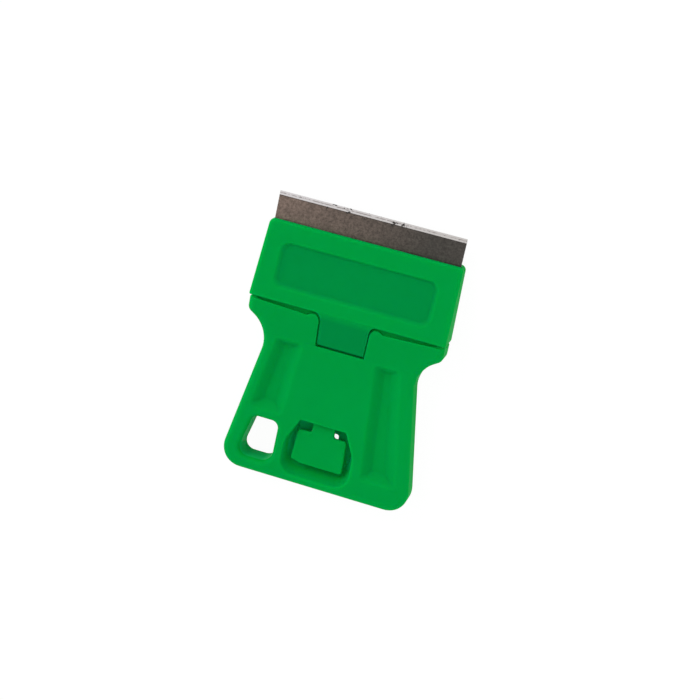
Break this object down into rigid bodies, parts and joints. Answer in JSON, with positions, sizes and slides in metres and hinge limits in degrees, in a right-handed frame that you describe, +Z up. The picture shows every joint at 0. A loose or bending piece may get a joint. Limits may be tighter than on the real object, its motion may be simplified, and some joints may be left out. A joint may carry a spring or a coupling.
{
  "type": "cleaning scraper",
  "caption": "Pocket razor scraper: flared moulded handle with hang hole, single-edge steel blade and a sliding blade guard worked by a thumb tab.",
  "frame": {"origin": "centre of the underside's bounding rectangle, with the blade out and the scraper lying on its back", "axes": "+X across the blade to the picture's right, +Y along the handle out over the cutting edge, +Z up out of the face with the thumb tab"},
  "size_m": [0.0404, 0.0574, 0.0068],
  "materials": {
    "handle_plastic": "moulded green polypropylene, satin",
    "guard_plastic": "moulded green polypropylene, satin",
    "blade_steel": "dark rolled carbon steel with a bright ground edge",
    "spine_steel": "plain rolled strip"
  },
  "bodies": {
    "handle": {"handle_body": "handle_plastic", "blade": "blade_steel", "blade_spine": "spine_steel"},
    "guard": {"blade_guard": "guard_plastic"},
    "tab": {"thumb_tab": "guard_plastic"}
  },
  "joints": [
    {"name": "guard_slide", "type": "slide", "parent": "handle", "child": "guard", "axis": [0, 1, 0], "range_m": [0, 0.007]},
    {"name": "tab_press", "type": "hinge", "parent": "guard", "child": "tab", "pos_m": [0, -0.014, 0.0041], "axis": [1, 0, 0], "range_deg": [0, 6], "stiffness_Nm_per_rad": 0.05}
  ]
}
